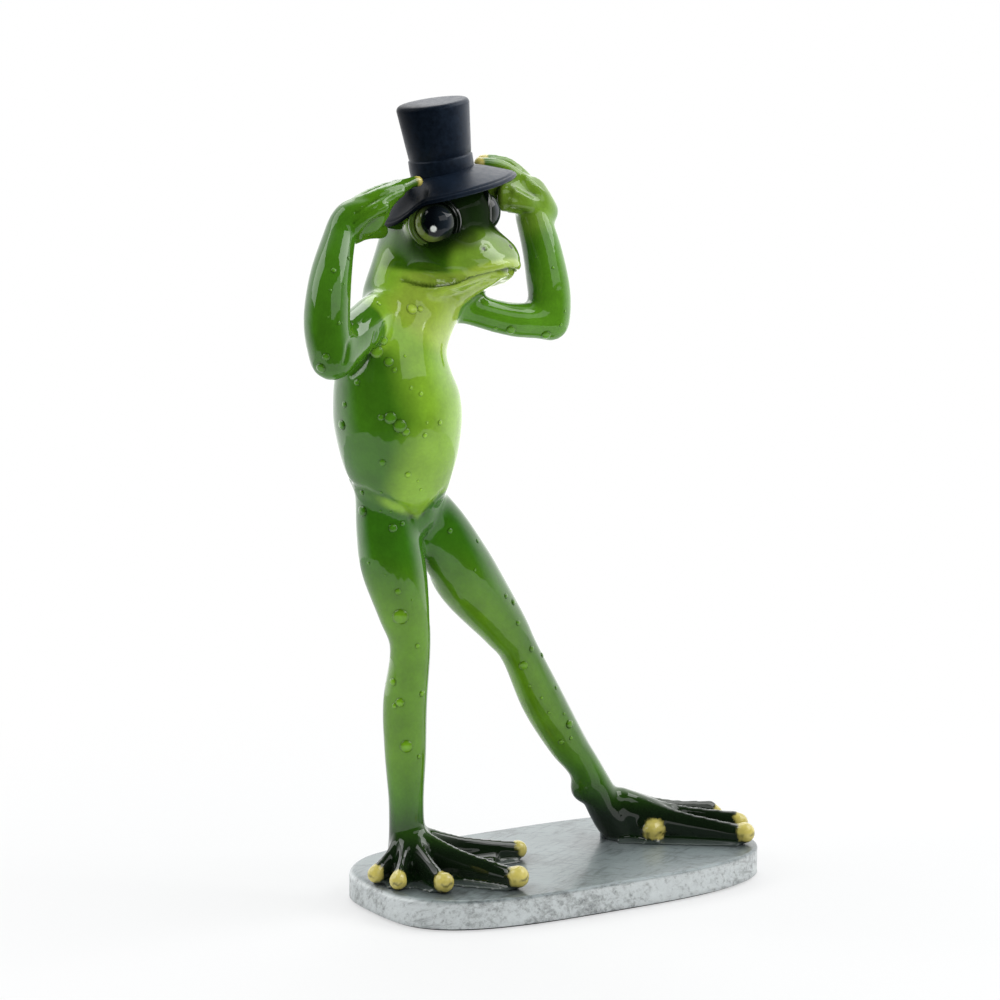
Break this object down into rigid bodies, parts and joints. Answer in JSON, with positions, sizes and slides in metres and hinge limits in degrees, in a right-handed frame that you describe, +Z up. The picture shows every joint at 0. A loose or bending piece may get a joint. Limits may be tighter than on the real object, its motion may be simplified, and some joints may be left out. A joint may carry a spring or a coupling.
{
  "type": "frog figurine",
  "caption": "Standing cast-resin frog in a top hat, hands on the brim, one leg stretched to the side, on a flat oval base it rests on.",
  "frame": {"origin": "middle of the felt's underside, where the figurine rests", "axes": "+Z up, the frog faces -Y, its left is +X along the base's length"},
  "size_m": [0.1622, 0.072, 0.2428],
  "materials": {
    "silvered_resin": "cast resin painted brushed silver with a dark wash",
    "felt": "dark green felt",
    "green_gloss_resin": "airbrushed greens under high gloss varnish",
    "black_satin_resin": "satin blue-black paint",
    "eye_glass": "polished dark glass with an olive iris",
    "steel_wire": "drawn galvanised wire"
  },
  "bodies": {
    "root": {"base_plate": "silvered_resin", "base_felt": "felt", "torso": "green_gloss_resin", "head": "green_gloss_resin", "right_arm": "green_gloss_resin", "left_arm": "green_gloss_resin", "right_leg": "green_gloss_resin", "left_leg": "green_gloss_resin", "hat": "black_satin_resin", "right_eye": "eye_glass", "left_eye": "eye_glass", "right_leg_wire": "steel_wire", "left_leg_wire": "steel_wire", "right_shoulder_pin": "steel_wire", "left_shoulder_pin": "steel_wire", "neck_pin": "steel_wire", "hat_pin": "steel_wire"}
  },
  "joints": []
}
